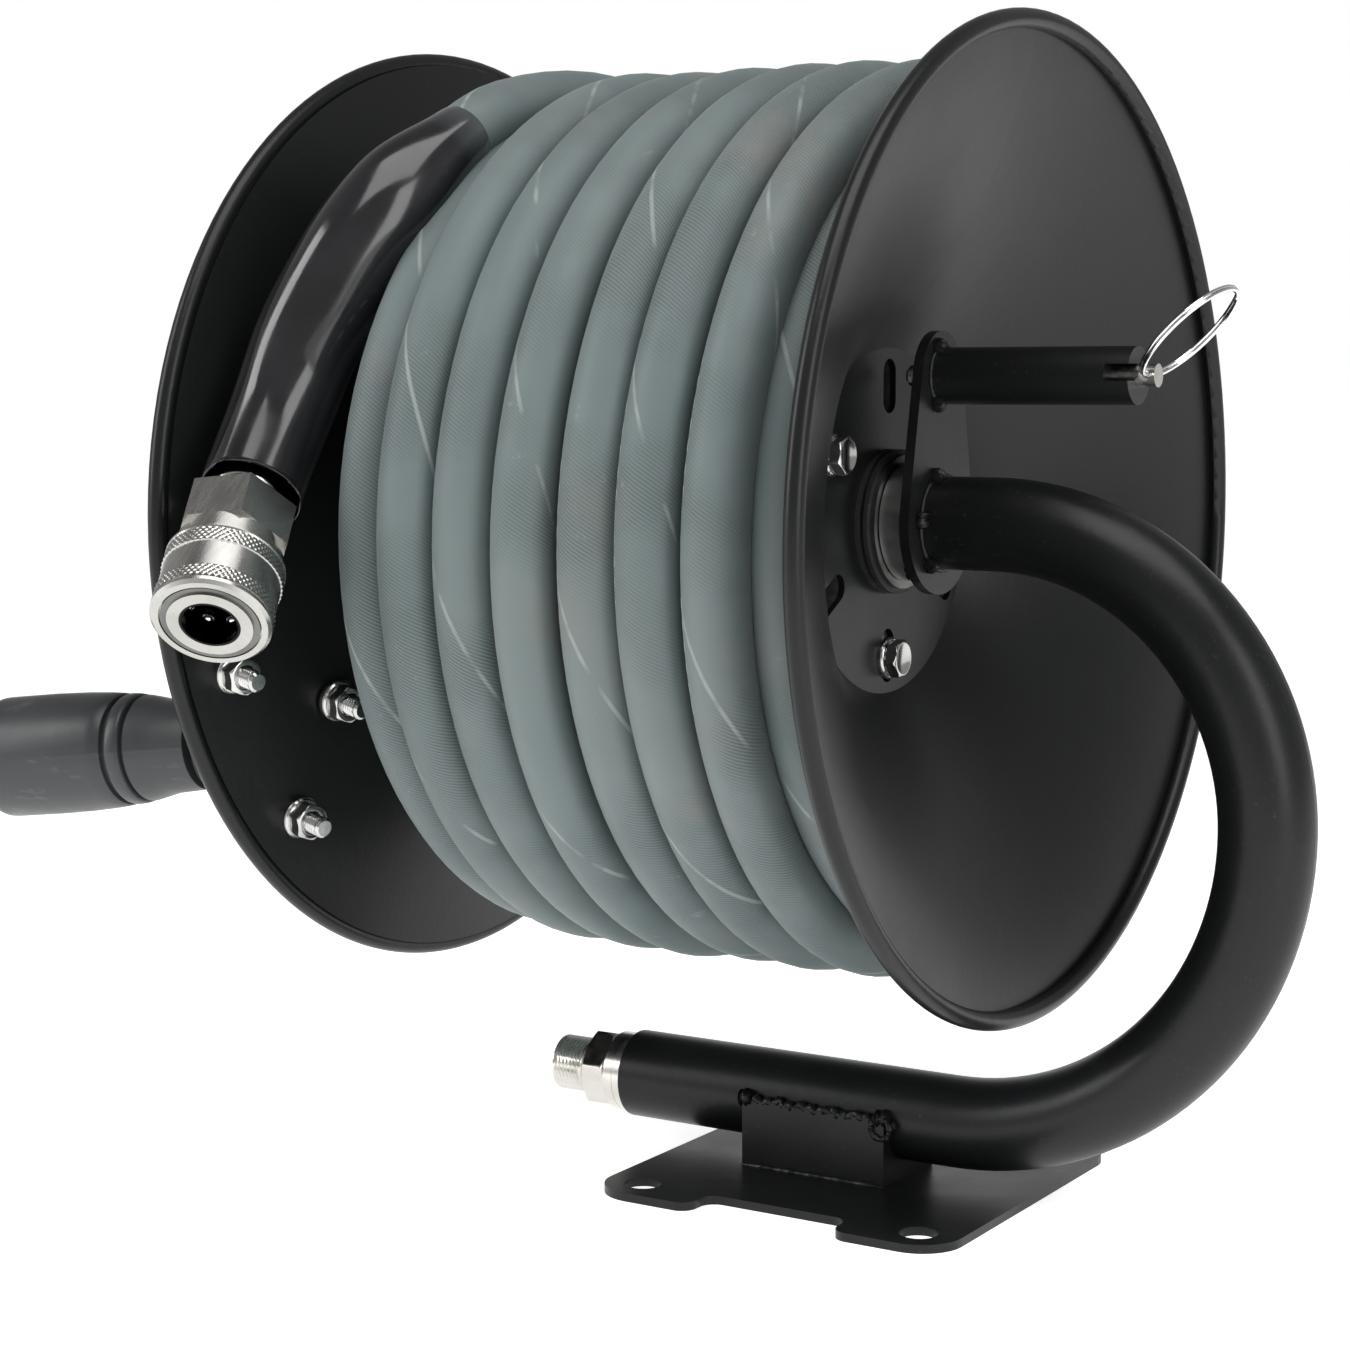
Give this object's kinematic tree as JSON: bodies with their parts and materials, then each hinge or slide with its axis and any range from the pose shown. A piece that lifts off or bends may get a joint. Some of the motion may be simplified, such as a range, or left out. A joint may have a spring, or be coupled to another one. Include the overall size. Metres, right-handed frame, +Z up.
{
  "type": "hose reel",
  "caption": "Crank-wound high-pressure hose reel on a single bent pipe arm with a bolt-down plate, a spring lock pin and a wound hose ending in a quick coupler.",
  "frame": {"origin": "centre of the base plate's four bolt holes, on the plate's underside", "axes": "+Z up, square to the plate; +X along the spin axis from the crank side towards the bent arm; -Y is the side where the hose comes off"},
  "size_m": [0.3714, 0.3151, 0.3375],
  "materials": {
    "black_powder_coat": "satin black powder coat",
    "bare_steel": "machined",
    "bright_zinc": "bright zinc plate",
    "nickel": "nickel plate",
    "stainless": "turned stainless steel",
    "hose_rubber": "wrapped blue-grey rubber",
    "black_vinyl": "glossy soft vinyl",
    "grip_plastic": "satin moulded plastic",
    "black_rubber": "matt",
    "bearing_plastic": "moulded bearing plastic",
    "brass": "machined"
  },
  "bodies": {
    "frame": {"base_plate": "black_powder_coat", "saddle": "black_powder_coat", "saddle_welds": "black_powder_coat", "arm_pipe": "black_powder_coat", "inlet_fitting": "nickel", "inlet_rings": "nickel", "lock_bracket": "black_powder_coat", "bracket_welds": "black_powder_coat", "lock_barrel": "black_powder_coat", "spindle": "bare_steel", "thrust_washer": "bare_steel", "spring_clip": "bare_steel"},
    "bush": {"hub_bush": "bearing_plastic"},
    "grip_body": {"grip": "grip_plastic"},
    "lock": {"lock_pin": "nickel", "lock_spring": "bare_steel"},
    "pull_ring": {"split_ring": "nickel"},
    "collar": {"coupler_collar": "stainless"},
    "reel": {"hub_housing": "bare_steel", "flange_right": "black_powder_coat", "flange_left": "black_powder_coat", "drum": "black_powder_coat", "outlet_pipe": "brass", "hub_ring": "black_rubber", "face_ring": "bright_zinc", "hub_seal": "black_rubber", "hub_plug": "bright_zinc", "hub_bolts_right": "bright_zinc", "hub_bolts_left": "bright_zinc", "crank_plate": "black_powder_coat", "crank_spacers": "black_powder_coat", "crank_bolts": "bright_zinc", "crank_washers": "bright_zinc", "crank_nuts": "bright_zinc", "grip_spindle": "bare_steel", "hose_coil": "hose_rubber", "hose_tail": "hose_rubber", "hose_sleeve": "black_vinyl", "coupler_body": "stainless", "coupler_balls": "stainless", "coupler_seal": "black_rubber", "coupler_snap_ring": "stainless", "hose_ferrule": "bright_zinc", "coupler_spring": "bare_steel"}
  },
  "joints": [
    {"name": "bush_spin", "type": "hinge", "parent": "frame", "child": "bush", "pos_m": [-0.0453, 0, 0.1955], "axis": [1, 0, 0], "continuous": true},
    {"name": "reel_spin", "type": "hinge", "parent": "bush", "child": "reel", "pos_m": [-0.0453, 0, 0.1955], "axis": [1, 0, 0], "continuous": true},
    {"name": "grip_spin", "type": "hinge", "parent": "reel", "child": "grip_body", "pos_m": [-0.1445, -0.10151, 0.13207], "axis": [-0.9799, -0.1691, -0.1056], "continuous": true},
    {"name": "lock_pin_slide", "type": "slide", "parent": "frame", "child": "lock", "axis": [-1, 0, 0], "range_m": [0, 0.0085], "deforming": ["lock_spring"]},
    {"name": "ring_swing", "type": "hinge", "parent": "lock", "child": "pull_ring", "pos_m": [0.0881, 0, 0.2374], "axis": [0, -1, 0], "range_deg": [-130, 30]},
    {"name": "collar_slide", "type": "slide", "parent": "reel", "child": "collar", "axis": [-0.3101, 0.6702, 0.6742], "range_m": [0, 0.005], "stiffness_N_per_m": 800, "springref_m": -0.01, "deforming": ["coupler_spring"]}
  ]
}
